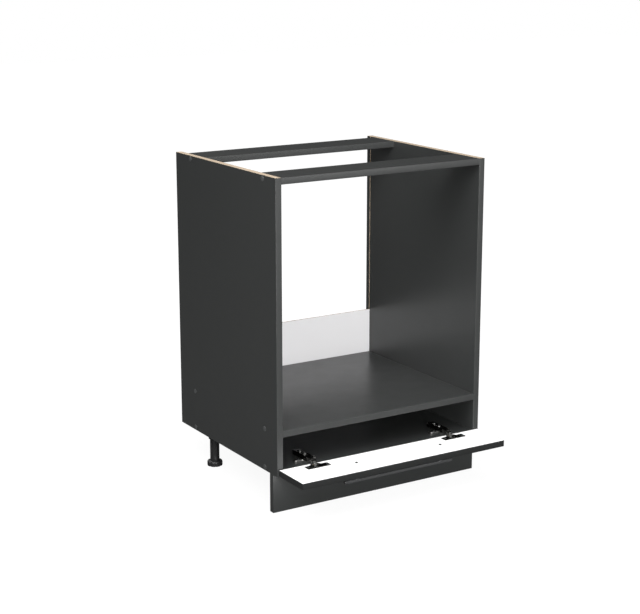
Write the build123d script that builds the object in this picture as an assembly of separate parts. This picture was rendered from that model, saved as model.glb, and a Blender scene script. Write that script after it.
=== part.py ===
from build123d import *
import cmath
import math
import os

# Oven housing unit: a floor cabinet for a built-in oven, with a fold-down flap under the oven.
# Sizes are millimetres. The working frame has x = 0 at mid-width, y = 0 at the front edges of the
# carcass and z = 0 on the floor. The pieces are written about the middle of the footprint.

# Carcass
cabinet_width = 600.0
cabinet_depth = 500.0
side_height = 720.0
board = 16.0
band = 0.8
leg_height = 98.0
shelf_rise = 113.0
rail_width = 93.0
rear_rail_setback = 36.0

# Back panel and its grooves
back_thickness = 3.0
back_rise = 235.0
back_setback = 14.2
groove_depth = 8.5
groove_play = 0.2
back_floor_gap = 1.0

# Joints between the boards
screw_row_front = 60.0
screw_row_rear = 421.0
dowel_pitch = 32.0
dowel_radius = 4.0
dowel_length = 30.0
dowel_in_side = 10.5
joint_screw_length = 50.0
joint_screw_head_radius = 5.0
joint_screw_shank_radius = 3.5
joint_screw_core_radius = 2.5
joint_screw_head_taper = 2.5
cap_radius = 6.5
cap_thickness = 1.0
fit_play = 0.05
hole_end_play = 0.5
fastener_flats = 8

# Small wood screws
wood_screw_radius = 1.75
wood_screw_head_radius = 3.6
wood_screw_head_height = 1.6
back_screw_length = 16.0
back_screw_count = 4
back_screw_margin = 60.0

# Flap, shown open and level
flap_height = 109.4
flap_thickness = 16.0
flap_side_gap = 3.0
flap_open_gap = 2.5
flap_open_rise = 1.7
flap_closed_gap = 2.0
flap_closed_reveal = 0.5

# Bar handle
handle_length = 320.0
handle_centres = 250.0
handle_offset = 14.0
handle_row = 53.0
handle_projection = 32.0
handle_bar_width = 10.0
handle_bar_depth = 8.0
handle_bar_round = 2.5
handle_leg_width = 9.0
handle_leg_round = 2.0
handle_screw_radius = 2.0
handle_screw_head_radius = 3.6
handle_screw_head_height = 2.0
handle_screw_hole_radius = 2.3
handle_screw_grip = 12.0

# Concealed hinges: places
hinge_inset = 97.5
cup_edge_distance = 2.6
cup_radius = 15.0
cup_depth = 11.5
cup_wall = 1.0
cup_floor = 0.8
cup_bore_play = 0.1
flange_thickness = 1.2
flange_length = 64.0
flange_width = 20.0
flange_rim = 0.5
flange_row_offset = 5.5
flange_corner = 1.0
cup_screw_pitch = 52.0
cup_screw_length = 11.0
cup_screw_head_height = 1.2

# Concealed hinges: the four pins in the open pose
cup_pin_from_edge = 7.5
cup_pin_above_face = -2.4
inner_pin_from_edge = 11.1
inner_pin_above_face = -5.7
outer_reach = 29.9
inner_reach = 15.3
pin_radius = 1.25
pin_play = 0.05
eye_wall = 1.15
link_half_width = 1.7
outer_link_bulge = 5.4
slot_play = 0.35

# Concealed hinges: widths across the hinge, counted from its middle
inner_link_half = 3.1
tongue_half_inner = 3.6
tongue_half_outer = 5.2
outer_link_half_inner = 5.5
outer_link_half_outer = 7.0
link_web_thickness = 1.2
ear_half_inner = 7.4
ear_half_outer = 8.9
saddle_half = 8.1
channel_half_inner = 8.4
channel_half_outer = 10.0
cup_notch_half = 7.4

# Concealed hinges: arm and mounting plate
arm_rise = 14.0
arm_sheet = 1.6
arm_front = 10.0
arm_length = 68.0
arm_cheek_drop = 9.0
arm_tail_round = 4.0
link_clearance = 0.6
plate_row = 37.0
plate_screw_pitch = 32.0
plate_wing_length = 62.0
plate_wing_width = 16.0
plate_wing_thickness = 3.5
plate_wing_round = 6.0
saddle_front = 22.0
saddle_length = 44.0
plate_screw_length = 14.0
adjusting_head_radius = 5.0
adjusting_head_height = 1.6
adjusting_shaft_radius = 2.5
adjusting_shaft_length = 9.0
fixing_screw_row = 58.0
fixing_head_radius = 3.8
screw_slot_width = 1.2
screw_slot_depth = 0.8

# Legs
front_leg_setback = 70.0
rear_leg_setback = 101.0
leg_inset = 43.0
tube_radius = 12.2
tube_flute_radius = 1.2
tube_flutes = 8
tube_flute_margin = 12.0
socket_plate_radius = 30.0
socket_plate_thickness = 4.0
socket_collar_radius = 15.5
socket_collar_length = 24.0
socket_screw_circle = 23.0
socket_screw_count = 3
socket_screw_length = 14.0
foot_radius = 20.0
foot_height = 14.0
foot_shoulder = 3.5
foot_notches = 8
foot_notch_radius = 3.0
stem_radius = 6.0
stem_length = 38.0
foot_gap = 0.3
foot_travel = 20.0

# Plinth panel and its clips
plinth_setback = 20.4
plinth_thickness = 16.0
plinth_top_gap = 0.5
clip_height = 40.0
clip_width = 14.0
clip_ring_wall = 2.6
clip_play = 0.1
clip_mouth = 18.0
bracket_width = 40.0
bracket_height = 44.0
bracket_base = 3.0
bracket_jaw = 4.0
bracket_lip = 2.0
clip_neck_half = 5.0
clip_head_half = 8.0
clip_head_depth = 2.4
bracket_play = 0.3
bracket_screw_pitch = 30.0
bracket_screw_length = 13.0

# Places that follow from the sizes
half_width = cabinet_width / 2
inner_half = half_width - board
hinge_offset = half_width - hinge_inset
top_z = leg_height + side_height
floor_z = leg_height + board
shelf_top_z = leg_height + shelf_rise
back_face_y = cabinet_depth - back_setback - back_thickness
rear_rail_y = cabinet_depth - rear_rail_setback - rail_width
flap_rear_y = -flap_open_gap
flap_front_y = flap_rear_y - flap_height
flap_inner_z = floor_z + flap_open_rise
flap_outer_z = flap_inner_z - flap_thickness
flap_half = half_width - flap_side_gap
handle_y = flap_rear_y - handle_row
cup_y = flap_rear_y - cup_edge_distance - cup_radius
flange_row_y = cup_y - flange_row_offset
flange_top_z = flap_inner_z + flange_thickness
cup_floor_z = flap_inner_z - cup_depth
arm_top_z = floor_z + arm_rise
arm_under_z = arm_top_z - arm_sheet
plate_top_z = floor_z + plate_wing_thickness
eye_radius = pin_radius + eye_wall
foot_plane_z = foot_height + foot_gap
footprint_middle = (flap_front_y + cabinet_depth) / 2

# The flap turns a quarter turn between open and closed. Points are y + iz. The pole is the one point
# that such a turn leaves in place, and every arm pin lies on the line that halves its cup pin's turn.
QUARTER = -1j
open_corner = complex(flap_rear_y, flap_inner_z)
closed_corner = complex(-flap_closed_gap, leg_height + flap_closed_reveal)
pole = (closed_corner - QUARTER * open_corner) / (1 - QUARTER)


def arm_pin(cup_pin, reach):
    """Where the arm holds a link whose other end is at cup_pin."""
    towards = (cup_pin - pole) / abs(cup_pin - pole) * cmath.exp(-1j * math.pi / 4)
    return pole + reach * towards


def link_turn(cup_pin, pin):
    """Degrees that a link turns while the flap closes."""
    closed = pole + (cup_pin - pole) * QUARTER
    return math.degrees(cmath.phase((closed - pin) / (cup_pin - pin)))


def turned_by(degrees):
    """The complex factor that turns a point by an angle."""
    return cmath.exp(1j * math.radians(degrees))


outer_cup_pin = complex(flap_rear_y - cup_pin_from_edge, flap_inner_z + cup_pin_above_face)
inner_cup_pin = complex(flap_rear_y - inner_pin_from_edge, flap_inner_z + inner_pin_above_face)
outer_arm_pin = arm_pin(outer_cup_pin, outer_reach)
inner_arm_pin = arm_pin(inner_cup_pin, inner_reach)
outer_turn = link_turn(outer_cup_pin, outer_arm_pin)
inner_turn = link_turn(inner_cup_pin, inner_arm_pin)
flap_turn = 90.0 + outer_turn


def slot_shift():
    """How far the cup's inner pin leaves the inner link's eye halfway through the travel."""
    outer_end = outer_arm_pin + (outer_cup_pin - outer_arm_pin) * turned_by(outer_turn / 2)
    pin = outer_end + (inner_cup_pin - outer_cup_pin) * turned_by(-45)
    return (pin - inner_arm_pin) * turned_by(-inner_turn / 2) + inner_arm_pin - inner_cup_pin


# Shapes used by many pieces

def slab(x, y, z):
    """A box between two corners, each axis given as (low, high)."""
    size = Box(x[1] - x[0], y[1] - y[0], z[1] - z[0])
    return Pos((x[0] + x[1]) / 2, (y[0] + y[1]) / 2, (z[0] + z[1]) / 2) * size


def rod(start, direction, radius, length):
    """A cylinder that starts at a point and runs along a direction."""
    place = Plane(origin=start, z_dir=direction).location
    return place * Cylinder(radius, length, align=(Align.CENTER, Align.CENTER, Align.MIN))


def flat_rod(start, direction, radius, length):
    """A rod with flat sides, for small fasteners and their holes."""
    place = Plane(origin=start, z_dir=direction).location
    return place * extrude(RegularPolygon(radius, fastener_flats), length)


def flat_cone(start, direction, radius, end_radius, length):
    """A flat-sided rod that narrows along its length."""
    place = Plane(origin=start, z_dir=direction).location
    inset = (radius - end_radius) * math.cos(math.pi / fastener_flats)
    taper = math.degrees(math.atan2(inset, length))
    return place * extrude(RegularPolygon(radius, fastener_flats), length, taper=taper)


def turned(start, direction, profile):
    """A turned piece from (radius, height) corners, standing at a point along a direction."""
    outline = make_face(Polyline([(radius, 0, height) for radius, height in profile], close=True))
    return Plane(origin=start, z_dir=direction).location * revolve(outline, Axis.Z)


def upright_prism(sketch, low, high):
    """A flat outline in x and y, raised between two heights."""
    return extrude(Pos(0, 0, low) * sketch, high - low)


def across(sketch, low, high):
    """An outline in y and z, made solid between two places along x."""
    return extrude(Plane.YZ.offset(low) * sketch, high - low)


def both_sides(shape):
    """A shape and its mirror image in the plane x = 0."""
    return [shape, mirror(shape, about=Plane.YZ)]


def at_hinge(shape, hand):
    """A hinge piece modelled at x = 0, moved to its hinge."""
    return Pos(hand * hinge_offset, 0, 0) * shape


def point(spot):
    """A complex y + iz as a pair."""
    return (spot.real, spot.imag)


# Where the boards join: (y, z) of each screw and dowel in a side panel

def joint_rows():
    """Screw places and dowel places on the inner face of a side."""
    screws = []
    dowels = []
    for centre_z in (leg_height + board / 2, shelf_top_z - board / 2):
        for y in (screw_row_front, screw_row_rear):
            screws.append((y, centre_z))
            dowels.append((y - dowel_pitch, centre_z))
        dowels.append(((screw_row_front + screw_row_rear) / 2, centre_z))
    for y in (screw_row_front, screw_row_rear):
        screws.append((y, top_z - board / 2))
        dowels.append((y - dowel_pitch, top_z - board / 2))
    return screws, dowels


JOINT_SCREWS, JOINT_DOWELS = joint_rows()


# Carcass

def side_panel():
    """The right side, with its groove, screw holes and dowel holes."""
    panel = slab((inner_half, half_width), (band, cabinet_depth), (leg_height, top_z))
    groove_y = (back_face_y - groove_play, back_face_y + back_thickness + groove_play)
    panel -= slab((inner_half - 1, inner_half + groove_depth), groove_y, (leg_height - 1, top_z + 1))
    for y, z in JOINT_SCREWS:
        panel -= joint_screw_in_side(y, z, fit_play)
    for y, z in JOINT_DOWELS:
        depth = dowel_in_side + hole_end_play
        panel -= flat_rod((inner_half, y, z), (1, 0, 0), dowel_radius + fit_play, depth)
    return panel


def joint_screw_in_side(y, z, play):
    """The sunk head and the shank of a joint screw, or with play the hole for them."""
    start = (half_width, y, z)
    head = joint_screw_head_radius + play
    shank = joint_screw_shank_radius + play
    inward = (-1, 0, 0)
    sunk_head = flat_cone(start, inward, head, shank, joint_screw_head_taper)
    return sunk_head + flat_rod(start, inward, shank, board)


def bored_board(y, z):
    """A board between the sides, with the joint holes in its ends."""
    panel = slab((-inner_half, inner_half), y, z)
    middle = (z[0] + z[1]) / 2
    screw_depth = joint_screw_length - board + hole_end_play
    dowel_depth = dowel_length - dowel_in_side + hole_end_play
    for hand in (-1, 1):
        for places, radius, depth in (
            (JOINT_SCREWS, joint_screw_core_radius, screw_depth),
            (JOINT_DOWELS, dowel_radius, dowel_depth),
        ):
            for hole_y, hole_z in places:
                if abs(hole_z - middle) < board / 2 and y[0] < hole_y < y[1]:
                    start = (hand * inner_half, hole_y, hole_z)
                    panel -= flat_rod(start, (-hand, 0, 0), radius + fit_play, depth)
    return panel


def back_screw_xs():
    """Places across the width of the screws through the back panel."""
    reach = inner_half - back_screw_margin
    return [-reach + 2 * reach * i / (back_screw_count - 1) for i in range(back_screw_count)]


def with_back_holes(panel, z):
    """A board with the pilot holes for the back panel's screws in its rear edge."""
    for x in back_screw_xs():
        depth = back_screw_length - back_thickness + hole_end_play
        panel -= flat_rod((x, back_face_y, z), (0, -1, 0), wood_screw_radius + fit_play, depth)
    return panel


def bottom_panel():
    """The carcass floor, with holes for hinge plates, leg sockets and back screws."""
    panel = bored_board((band, back_face_y), (leg_height, floor_z))
    panel = with_back_holes(panel, leg_height + board / 2)
    radius = wood_screw_radius + fit_play
    plate_depth = plate_screw_length - plate_wing_thickness + hole_end_play
    for x in plate_screw_xs():
        panel -= flat_rod((x, plate_row, floor_z), (0, 0, -1), radius, plate_depth)
    for leg_x, leg_y in LEGS:
        for x, y in socket_screw_places(leg_x, leg_y):
            depth = socket_screw_length - socket_plate_thickness + hole_end_play
            panel -= flat_rod((x, y, leg_height), (0, 0, 1), radius, depth)
    return panel


def oven_shelf():
    """The fixed shelf that carries the oven."""
    panel = bored_board((band, back_face_y), (shelf_top_z - board, shelf_top_z))
    return with_back_holes(panel, shelf_top_z - board / 2)


def back_panel():
    """The thin low back, standing in the grooves."""
    reach = inner_half + groove_depth - hole_end_play
    y = (back_face_y, back_face_y + back_thickness)
    panel = slab((-reach, reach), y, (leg_height + back_floor_gap, leg_height + back_rise))
    for z in (leg_height + board / 2, shelf_top_z - board / 2):
        for x in back_screw_xs():
            start = (x, y[0] - 1, z)
            panel -= flat_rod(start, (0, 1, 0), wood_screw_radius + fit_play, back_thickness + 2)
    return panel


def wood_screws(places, direction, length, head_height):
    """Small screws whose heads sit on a face, one at each place."""
    backward = tuple(-part for part in direction)
    screws = []
    for place in places:
        head = flat_rod(place, backward, wood_screw_head_radius, head_height)
        screws.append(head + flat_rod(place, direction, wood_screw_radius, length))
    return screws


def joint_screws():
    """Long countersunk screws through the sides into the boards."""
    screws = []
    for y, z in JOINT_SCREWS:
        core = flat_rod((half_width, y, z), (-1, 0, 0), joint_screw_core_radius, joint_screw_length)
        screws += both_sides(joint_screw_in_side(y, z, 0) + core)
    return screws


def screw_caps():
    """Round covers stuck over the screw heads."""
    caps = []
    for y, z in JOINT_SCREWS:
        caps += both_sides(rod((half_width, y, z), (1, 0, 0), cap_radius, cap_thickness))
    return caps


def dowels():
    """Wooden dowels between the sides and the boards."""
    pieces = []
    for y, z in JOINT_DOWELS:
        start = (inner_half + dowel_in_side, y, z)
        pieces += both_sides(flat_rod(start, (-1, 0, 0), dowel_radius, dowel_length))
    return pieces


def edge_bands():
    """The glued strip on each front edge of the carcass, by name."""
    y = (0, band)
    right = slab((inner_half, half_width), y, (leg_height, top_z))
    inner = (-inner_half, inner_half)
    rail_y = (rear_rail_y, rear_rail_y + band)
    return {
        "left_edge_band": mirror(right, about=Plane.YZ),
        "right_edge_band": right,
        "bottom_edge_band": slab(inner, y, (leg_height, floor_z)),
        "shelf_edge_band": slab(inner, y, (shelf_top_z - board, shelf_top_z)),
        "front_rail_edge_band": slab(inner, y, (top_z - board, top_z)),
        "rear_rail_edge_band": slab(inner, rail_y, (top_z - board, top_z)),
    }


# Flap

def flap_panel():
    """The flap board with its cup bores and screw holes."""
    x = (-flap_half + band, flap_half - band)
    y = (flap_front_y + band, flap_rear_y - band)
    panel = slab(x, y, (flap_outer_z, flap_inner_z))
    down = (0, 0, -1)
    for hand in (-1, 1):
        centre = (hand * hinge_offset, cup_y, flap_inner_z)
        panel -= rod(centre, down, cup_radius + cup_bore_play, cup_depth + hole_end_play)
    for x in cup_screw_xs():
        depth = cup_screw_length - flange_thickness + hole_end_play
        panel -= flat_rod((x, flange_row_y, flap_inner_z), down, wood_screw_radius + fit_play, depth)
    for x in handle_xs():
        panel -= flat_rod((x, handle_y, flap_inner_z), down, handle_screw_hole_radius, flap_thickness)
    return panel


def flap_edge_bands():
    """The strips round the flap: two long ones and two short ones between them."""
    z = (flap_outer_z, flap_inner_z)
    long_x = (-flap_half, flap_half)
    end_y = (flap_front_y + band, flap_rear_y - band)
    strips = [
        slab(long_x, (flap_front_y, flap_front_y + band), z),
        slab(long_x, (flap_rear_y - band, flap_rear_y), z),
    ]
    return strips + both_sides(slab((flap_half - band, flap_half), end_y, z))


def handle_xs():
    """Places across the width of the handle's two screws."""
    return [handle_offset - handle_centres / 2, handle_offset + handle_centres / 2]


def bar_handle():
    """The cast bar with its two legs."""
    bar_z = flap_outer_z - handle_projection + handle_bar_depth / 2
    section = Plane.YZ * RectangleRounded(handle_bar_width, handle_bar_depth, handle_bar_round)
    bar = Pos(handle_offset - handle_length / 2, handle_y, bar_z) * extrude(section, handle_length)
    handle = bar
    for x in handle_xs():
        leg = RectangleRounded(handle_leg_width, handle_bar_width, handle_leg_round)
        handle += upright_prism(Pos(x, handle_y) * leg, bar_z, flap_outer_z)
    for x in handle_xs():
        start = (x, handle_y, flap_outer_z)
        hole = handle_screw_grip + hole_end_play
        handle -= flat_rod(start, (0, 0, -1), handle_screw_radius + fit_play, hole)
    return handle


def handle_screws():
    """Two pan-head screws from the inner face of the flap."""
    low = handle_screw_head_height / 2
    screws = []
    for x in handle_xs():
        start = (x, handle_y, flap_inner_z)
        rise = (x, handle_y, flap_inner_z + low)
        head = flat_rod(start, (0, 0, 1), handle_screw_head_radius, low)
        head += flat_cone(rise, (0, 0, 1), handle_screw_head_radius, handle_screw_head_radius - low, low)
        shaft_length = flap_thickness + handle_screw_grip
        screws.append(head + flat_rod(start, (0, 0, -1), handle_screw_radius, shaft_length))
    return screws


# Hinge pieces, modelled at x = 0

def cup_screw_xs():
    """Places across the width of the screws in both hinge flanges."""
    half = cup_screw_pitch / 2
    return [hand * hinge_offset + side * half for hand in (-1, 1) for side in (-1, 1)]


def plate_screw_xs():
    """Places across the width of the screws in both mounting plates."""
    half = plate_screw_pitch / 2
    return [hand * hinge_offset + side * half for hand in (-1, 1) for side in (-1, 1)]


def hinge_cup():
    """The pressed cup with its flange, the ears for the pins and the notch for the links."""
    outer = Pos(0, cup_y) * Circle(cup_radius)
    bore = Pos(0, cup_y) * Circle(cup_radius - cup_wall)
    wings = Pos(0, flange_row_y) * RectangleRounded(flange_length, flange_width, flange_corner)
    rim = Pos(0, cup_y) * Circle(cup_radius + flange_rim)
    cup = upright_prism(outer, cup_floor_z, flap_inner_z)
    cup += upright_prism(wings + rim, flap_inner_z, flange_top_z)
    cup -= upright_prism(bore, cup_floor_z + cup_floor, flange_top_z + 1)
    ear_y = (inner_cup_pin.real - 2 * eye_radius, outer_cup_pin.real + eye_radius)
    ear = slab((ear_half_inner, ear_half_outer), ear_y, (cup_floor_z, flap_inner_z))
    for side in both_sides(ear):
        cup += side & upright_prism(outer, cup_floor_z, flap_inner_z)
    notch_z = (outer_cup_pin.imag - 2 * eye_radius, flange_top_z + 1)
    notch_y = (outer_cup_pin.real, cup_y + cup_radius + flange_rim + 1)
    cup -= slab((-cup_notch_half, cup_notch_half), notch_y, notch_z)
    for pin in (outer_cup_pin, inner_cup_pin):
        hole = Pos(*point(pin)) * Circle(pin_radius + fit_play / 2)
        cup -= across(hole, -ear_half_outer - 0.5, ear_half_outer + 0.5)
    for side in (-1, 1):
        spot = (side * cup_screw_pitch / 2, flange_row_y, flange_top_z + 1)
        cup -= flat_rod(spot, (0, 0, -1), wood_screw_radius + fit_play, flange_thickness + 2)
    return cup


def cup_pins():
    """Two short pins for the outer link and one long pin for the inner link."""
    stub = Pos(*point(outer_cup_pin)) * Circle(pin_radius)
    through = Pos(*point(inner_cup_pin)) * Circle(pin_radius)
    stubs = both_sides(across(stub, outer_link_half_inner - 0.2, ear_half_outer))
    return stubs + [across(through, -ear_half_outer, ear_half_outer)]


def arm_pins():
    """The two pins that the arm holds."""
    outer = Pos(*point(outer_arm_pin)) * Circle(pin_radius)
    inner = Pos(*point(inner_arm_pin)) * Circle(pin_radius)
    outer_half = outer_link_half_outer + 0.5
    return [across(outer, -outer_half, outer_half), across(inner, -tongue_half_outer, tongue_half_outer)]


def bulged(start, end, bulge, share):
    """A point on the arc from start to end that stands out by bulge on its right."""
    chord = abs(end - start)
    radius = (chord ** 2 / 4 + bulge ** 2) / (2 * bulge)
    outward = -1j * (end - start) / chord
    centre = (start + end) / 2 + outward * (bulge - radius)
    sweep = 2 * math.asin(chord / 2 / radius)
    return centre + (start - centre) * cmath.exp(1j * sweep * share)


def outer_link():
    """The long curved link: two cheeks, one each side of the arm, joined by a web."""
    middle = bulged(outer_arm_pin, outer_cup_pin, outer_link_bulge, 0.5)
    arc = ThreePointArc(point(outer_arm_pin), point(middle), point(outer_cup_pin))
    cheek = SlotArc(arc, 2 * link_half_width)
    for pin in (outer_arm_pin, outer_cup_pin):
        cheek += Pos(*point(pin)) * Circle(eye_radius)
    for pin in (outer_arm_pin, outer_cup_pin):
        cheek -= Pos(*point(pin)) * Circle(pin_radius + pin_play)
    cheeks = both_sides(across(cheek, outer_link_half_inner, outer_link_half_outer))
    low = bulged(outer_arm_pin, outer_cup_pin, outer_link_bulge, 0.72)
    high = bulged(outer_arm_pin, outer_cup_pin, outer_link_bulge, 0.48)
    inward = 1j * (low - high) / abs(low - high)
    edge = link_half_width - 0.3
    corners = [high + inward * edge, low + inward * edge]
    corners += [spot - inward * link_web_thickness for spot in reversed(corners)]
    web = make_face(Polyline([point(spot) for spot in corners], close=True))
    return cheeks[0] + across(web, -outer_link_half_outer, outer_link_half_outer) + cheeks[1]


def inner_link():
    """The short link, with a slotted eye where it meets the cup's long pin."""
    start = point(inner_arm_pin)
    end = point(inner_cup_pin)
    shifted = point(inner_cup_pin + slot_shift())
    outline = SlotCenterToCenter(abs(inner_arm_pin - inner_cup_pin), 2 * link_half_width)
    middle = (inner_arm_pin + inner_cup_pin) / 2
    lean = math.degrees(cmath.phase(inner_cup_pin - inner_arm_pin))
    outline = Pos(*point(middle)) * Rot(0, 0, lean) * outline
    outline += Pos(*start) * Circle(eye_radius)
    slot_lean = math.degrees(cmath.phase(slot_shift()))
    slot_middle = inner_cup_pin + slot_shift() / 2
    slot_place = Pos(*point(slot_middle)) * Rot(0, 0, slot_lean)
    slot_radius = pin_radius + slot_play
    outline += slot_place * SlotCenterToCenter(abs(slot_shift()), 2 * (slot_radius + eye_wall))
    outline -= slot_place * SlotCenterToCenter(abs(slot_shift()), 2 * slot_radius)
    outline -= Pos(*start) * Circle(pin_radius + pin_play)
    return across(outline, -inner_link_half, inner_link_half)


def tongue_outline():
    """Side view of the arm's front cheeks, from the channel down to the inner link's pin."""
    over = arm_top_z - arm_sheet / 2
    rear = outer_arm_pin.real + 2 * eye_radius
    tip_top = inner_arm_pin + eye_radius * turned_by(100)
    tip_low = inner_arm_pin + eye_radius * turned_by(-30)
    bend = (inner_arm_pin.real + 6.5, inner_arm_pin.imag + 2.6)
    corners = [
        point(tip_top),
        point(tip_low),
        bend,
        (outer_arm_pin.real - 4.5, arm_top_z - 4.6),
        (outer_arm_pin.real - 2, outer_arm_pin.imag - eye_radius),
        (rear, outer_arm_pin.imag - eye_radius),
        (rear, over),
        (inner_arm_pin.real + 5.5, over),
    ]
    outline = make_face(Polyline(corners, close=True))
    return outline + Pos(*point(inner_arm_pin)) * Circle(eye_radius)


def hinge_arm():
    """The arm: a channel over the saddle and a narrow tongue that carries the link pins."""
    rear = arm_front + arm_length
    low = arm_top_z - arm_cheek_drop
    web_half = tongue_half_outer
    arm = slab((-channel_half_outer, channel_half_outer), (arm_front, rear), (low, arm_top_z))
    tail = arm.edges().filter_by(Axis.Z).group_by(Axis.Y)[-1]
    arm = fillet(tail, arm_tail_round)
    inside = (-channel_half_inner, channel_half_inner)
    arm -= slab(inside, (arm_front - 1, rear - arm_sheet), (low - 1, arm_under_z))
    link_rear = outer_arm_pin.real + eye_radius + link_clearance
    window = slab((web_half, channel_half_inner), (arm_front - 1, link_rear), (low - 1, arm_top_z + 1))
    for opening in both_sides(window):
        arm -= opening
    web_front = inner_arm_pin.real + 5.5
    arm += slab((-web_half, web_half), (web_front, arm_front + 1), (arm_under_z, arm_top_z))
    cheeks = both_sides(across(tongue_outline(), tongue_half_inner, tongue_half_outer))
    arm += cheeks[0]
    arm += cheeks[1]
    for pin in (outer_arm_pin, inner_arm_pin):
        hole = Pos(*point(pin)) * Circle(pin_radius + fit_play / 2)
        arm -= across(hole, -tongue_half_outer - 0.2, tongue_half_outer + 0.2)
    for y in (plate_row, fixing_screw_row):
        spot = (0, y, arm_top_z + 1)
        arm -= flat_rod(spot, (0, 0, -1), adjusting_shaft_radius + fit_play, arm_sheet + 2)
    return arm


def mounting_plate():
    """The cross-shaped plate on the cabinet floor, with the saddle under the arm."""
    wings = RectangleRounded(plate_wing_length, plate_wing_width, plate_wing_round)
    plate = upright_prism(Pos(0, plate_row) * wings, floor_z, plate_top_z)
    saddle_y = (saddle_front, saddle_front + saddle_length)
    plate += slab((-saddle_half, saddle_half), saddle_y, (floor_z, arm_under_z))
    for side in (-1, 1):
        spot = (side * plate_screw_pitch / 2, plate_row, plate_top_z + 1)
        plate -= flat_rod(spot, (0, 0, -1), wood_screw_radius + fit_play, plate_wing_thickness + 2)
    for y in (plate_row, fixing_screw_row):
        spot = (0, y, arm_under_z)
        depth = adjusting_shaft_length - arm_sheet + hole_end_play
        plate -= flat_rod(spot, (0, 0, -1), adjusting_shaft_radius + fit_play, depth)
    return plate


def arm_screws():
    """The adjusting screw and the fixing screw on top of the arm, each with a slot."""
    screws = []
    for y, radius in ((plate_row, adjusting_head_radius), (fixing_screw_row, fixing_head_radius)):
        spot = (0, y, arm_top_z)
        head = rod(spot, (0, 0, 1), radius, adjusting_head_height)
        slot_z = arm_top_z + adjusting_head_height
        for half_x, half_y in ((radius * 0.7, screw_slot_width / 2), (screw_slot_width / 2, radius * 0.7)):
            head -= slab((-half_x, half_x), (y - half_y, y + half_y), (slot_z - screw_slot_depth, slot_z + 1))
        screws.append(head + flat_rod(spot, (0, 0, -1), adjusting_shaft_radius, adjusting_shaft_length))
    return screws


# Legs and plinth

def leg_places():
    """Middle of each leg, by name."""
    x = half_width - leg_inset
    return {
        "front_left": (-x, front_leg_setback),
        "front_right": (x, front_leg_setback),
        "rear_left": (-x, cabinet_depth - rear_leg_setback),
        "rear_right": (x, cabinet_depth - rear_leg_setback),
    }


LEG_PLACES = leg_places()
LEGS = list(LEG_PLACES.values())


def socket_screw_places(leg_x, leg_y):
    """Screw places round one leg socket, clear of the sides."""
    inward = math.pi if leg_x > 0 else 0.0
    step = 2 * math.pi / 3 / (socket_screw_count - 1)
    angles = [inward + step * (i - (socket_screw_count - 1) / 2) for i in range(socket_screw_count)]
    return [
        (leg_x + socket_screw_circle * math.cos(a), leg_y + socket_screw_circle * math.sin(a))
        for a in angles
    ]


def leg_socket(leg_x, leg_y):
    """The plate and collar screwed under the cabinet."""
    under = leg_height - socket_plate_thickness
    low = leg_height - socket_collar_length
    profile = [
        (tube_radius + fit_play, low),
        (socket_collar_radius, low),
        (socket_collar_radius, under),
        (socket_plate_radius, under),
        (socket_plate_radius, leg_height),
        (tube_radius + fit_play, leg_height),
    ]
    socket = turned((leg_x, leg_y, 0), (0, 0, 1), profile)
    for x, y in socket_screw_places(leg_x, leg_y):
        hole = socket_plate_thickness + 2
        socket -= flat_rod((x, y, under - 1), (0, 0, 1), wood_screw_radius + fit_play, hole)
    return socket


def leg_tube(leg_x, leg_y):
    """The fluted tube with the bore for the foot's stem."""
    bore = stem_radius + fit_play
    bore_top = foot_plane_z + stem_length + 2
    profile = [
        (bore, foot_plane_z),
        (tube_radius, foot_plane_z),
        (tube_radius, leg_height),
        (0, leg_height),
        (0, bore_top),
        (bore, bore_top),
    ]
    tube = turned((leg_x, leg_y, 0), (0, 0, 1), profile)
    flute_low = foot_plane_z + tube_flute_margin
    flute_high = leg_height - socket_collar_length - tube_flute_margin / 2
    for i in range(tube_flutes):
        angle = 2 * math.pi * (i + 0.5) / tube_flutes
        x = leg_x + tube_radius * math.cos(angle)
        y = leg_y + tube_radius * math.sin(angle)
        tube -= flat_rod((x, y, flute_low), (0, 0, 1), tube_flute_radius, flute_high - flute_low)
    return tube


def screw_foot(leg_x, leg_y):
    """The foot that screws in and out of the tube, with grip notches round its base."""
    profile = [
        (0, 0),
        (foot_radius - 1, 0),
        (foot_radius, 1),
        (foot_radius, foot_height - foot_shoulder),
        (foot_radius - foot_shoulder, foot_height),
        (stem_radius, foot_height),
        (stem_radius, foot_height + stem_length),
        (0, foot_height + stem_length),
    ]
    foot = turned((leg_x, leg_y, 0), (0, 0, 1), profile)
    for i in range(foot_notches):
        angle = 2 * math.pi * (i + 0.5) / foot_notches
        x = leg_x + (foot_radius + foot_notch_radius * 0.5) * math.cos(angle)
        y = leg_y + (foot_radius + foot_notch_radius * 0.5) * math.sin(angle)
        foot -= flat_rod((x, y, -1), (0, 0, 1), foot_notch_radius, foot_height + 2)
    return foot


def socket_screws():
    """The screws of all four leg sockets."""
    places = []
    for leg_x, leg_y in LEGS:
        for x, y in socket_screw_places(leg_x, leg_y):
            places.append((x, y, leg_height - socket_plate_thickness))
    return wood_screws(places, (0, 0, 1), socket_screw_length, wood_screw_head_height)


def plinth_panel():
    """The board in front of the legs, with the pilot holes for its brackets."""
    y = (plinth_setback, plinth_setback + plinth_thickness)
    panel = slab((-half_width, half_width), y, (0, leg_height - plinth_top_gap))
    for x, _, z in bracket_screw_places():
        depth = bracket_screw_length - bracket_base + hole_end_play
        panel -= flat_rod((x, y[1], z), (0, -1, 0), wood_screw_radius + fit_play, depth)
    return panel


def bracket_screw_places():
    """Screws of both plinth brackets, on the rear face of each bracket base."""
    y = plinth_setback + plinth_thickness + bracket_base
    x = half_width - leg_inset
    half = bracket_screw_pitch / 2
    return [(hand * x + side * half, y, clip_height) for hand in (-1, 1) for side in (-1, 1)]


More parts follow.
